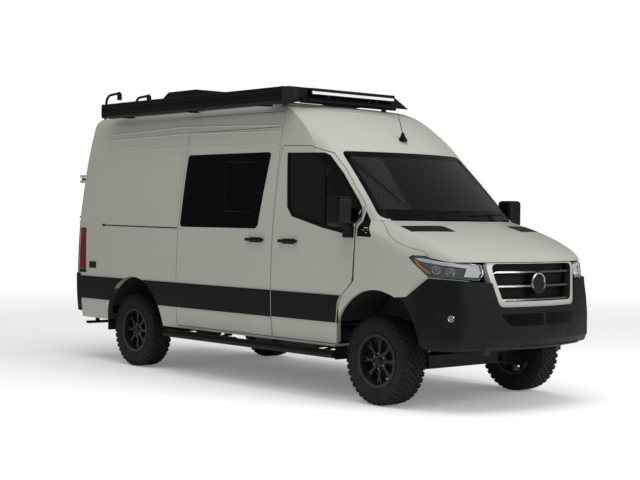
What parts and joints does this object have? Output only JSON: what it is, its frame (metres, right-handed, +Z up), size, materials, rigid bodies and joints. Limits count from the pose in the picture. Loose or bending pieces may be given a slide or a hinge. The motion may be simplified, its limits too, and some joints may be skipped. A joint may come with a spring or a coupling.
{
  "type": "camper_van",
  "caption": "High-roof camper van with a windowed sliding side door, opening cab and rear doors, steel roof rack with side awning, rear ladder, tube side steps and off-road tyres",
  "frame": {"origin": "On the ground plane, under the middle of the overall length and width", "axes": "+X is forward, +Y is to the left, +Z is up"},
  "size_m": [5.932, 2.352, 2.9388],
  "materials": {
    "body_paint": "satin",
    "dark_plastic": "matte",
    "black_plastic": "gloss",
    "glass": "gloss",
    "dark_glass": "gloss",
    "lamp_clear": "gloss",
    "lamp_red": "gloss",
    "black_metal": "matte",
    "inner_paint": "satin",
    "chassis_paint": "satin",
    "cast_metal": "matte",
    "interior_plastic": "matte",
    "seat_fabric": "matte",
    "interior_board": "satin",
    "roof_plastic": "matte",
    "wheel_paint": "satin",
    "tyre": "matte"
  },
  "bodies": {
    "van_body": {"side_panel_right": "body_paint", "side_panel_left": "body_paint", "roof_panel": "body_paint", "front_wings": "body_paint", "headlamps": "lamp_clear", "front_bumper": "dark_plastic", "grille_surround": "body_paint", "grille": "black_plastic", "windscreen": "glass", "sliding_door": "body_paint", "side_windows": "dark_glass", "tail_lamps": "lamp_red", "side_cladding": "dark_plastic", "rear_bumper": "dark_plastic", "floor_pan": "inner_paint", "chassis_frame": "chassis_paint", "engine": "cast_metal", "front_suspension": "chassis_paint", "underbody_units": "chassis_paint", "rear_axle": "chassis_paint", "dashboard": "interior_plastic", "cab_seats": "seat_fabric", "camper_furniture": "interior_board", "roof_rack": "black_metal", "light_bar": "black_metal", "awning": "black_metal", "roof_unit": "roof_plastic", "running_boards": "black_metal"},
    "bonnet_lid": {"bonnet": "body_paint"},
    "door_front_right": {"front_door_right": "body_paint", "door_glass_right": "dark_glass", "mirror_right": "black_plastic"},
    "door_front_left": {"front_door_left": "body_paint", "door_glass_left": "dark_glass", "mirror_left": "black_plastic"},
    "door_rear_right": {"rear_door_right": "body_paint", "rear_glass_right": "dark_glass", "ladder": "black_metal"},
    "door_rear_left": {"rear_door_left": "body_paint", "rear_glass_left": "dark_glass"},
    "steer_right": {"knuckle_right": "cast_metal"},
    "steer_left": {"knuckle_left": "cast_metal"},
    "wheel_set_front_right": {"wheel_front_right": "wheel_paint", "tyre_front_right": "tyre"},
    "wheel_set_front_left": {"wheel_front_left": "wheel_paint", "tyre_front_left": "tyre"},
    "wheel_set_rear_right": {"wheel_rear_right": "wheel_paint", "tyre_rear_right": "tyre"},
    "wheel_set_rear_left": {"wheel_rear_left": "wheel_paint", "tyre_rear_left": "tyre"}
  },
  "joints": [
    {"name": "bonnet_hinge", "type": "hinge", "parent": "van_body", "child": "bonnet_lid", "pos_m": [1.86185, 0, 1.545], "axis": [0, -1, 0], "range_deg": [0, 60]},
    {"name": "front_door_right_hinge", "type": "hinge", "parent": "van_body", "child": "door_front_right", "pos_m": [1.722, -0.95, 1.05], "axis": [0, 0.0694, 0.9976], "range_deg": [0, 70]},
    {"name": "front_door_left_hinge", "type": "hinge", "parent": "van_body", "child": "door_front_left", "pos_m": [1.722, 0.95, 1.05], "axis": [0, 0.0694, -0.9976], "range_deg": [0, 70]},
    {"name": "rear_door_right_hinge", "type": "hinge", "parent": "van_body", "child": "door_rear_right", "pos_m": [-2.91, -0.88, 1.5], "axis": [0, 0, 1], "range_deg": [0, 180]},
    {"name": "rear_door_left_hinge", "type": "hinge", "parent": "van_body", "child": "door_rear_left", "pos_m": [-2.91, 0.88, 1.5], "axis": [0, 0, -1], "range_deg": [0, 180]},
    {"name": "steering_right", "type": "hinge", "parent": "van_body", "child": "steer_right", "pos_m": [1.962, -0.742, 0.375], "axis": [0, 0, 1], "range_deg": [-35, 35]},
    {"name": "steering_left", "type": "hinge", "parent": "van_body", "child": "steer_left", "pos_m": [1.962, 0.742, 0.375], "axis": [0, 0, 1], "range_deg": [-35, 35]},
    {"name": "wheel_front_right_spin", "type": "hinge", "parent": "steer_right", "child": "wheel_set_front_right", "pos_m": [1.962, -0.858, 0.375], "axis": [0, 1, 0], "continuous": true},
    {"name": "wheel_front_left_spin", "type": "hinge", "parent": "steer_left", "child": "wheel_set_front_left", "pos_m": [1.962, 0.858, 0.375], "axis": [0, 1, 0], "continuous": true},
    {"name": "wheel_rear_right_spin", "type": "hinge", "parent": "van_body", "child": "wheel_set_rear_right", "pos_m": [-1.703, -0.858, 0.375], "axis": [0, 1, 0], "continuous": true},
    {"name": "wheel_rear_left_spin", "type": "hinge", "parent": "van_body", "child": "wheel_set_rear_left", "pos_m": [-1.703, 0.858, 0.375], "axis": [0, 1, 0], "continuous": true}
  ]
}
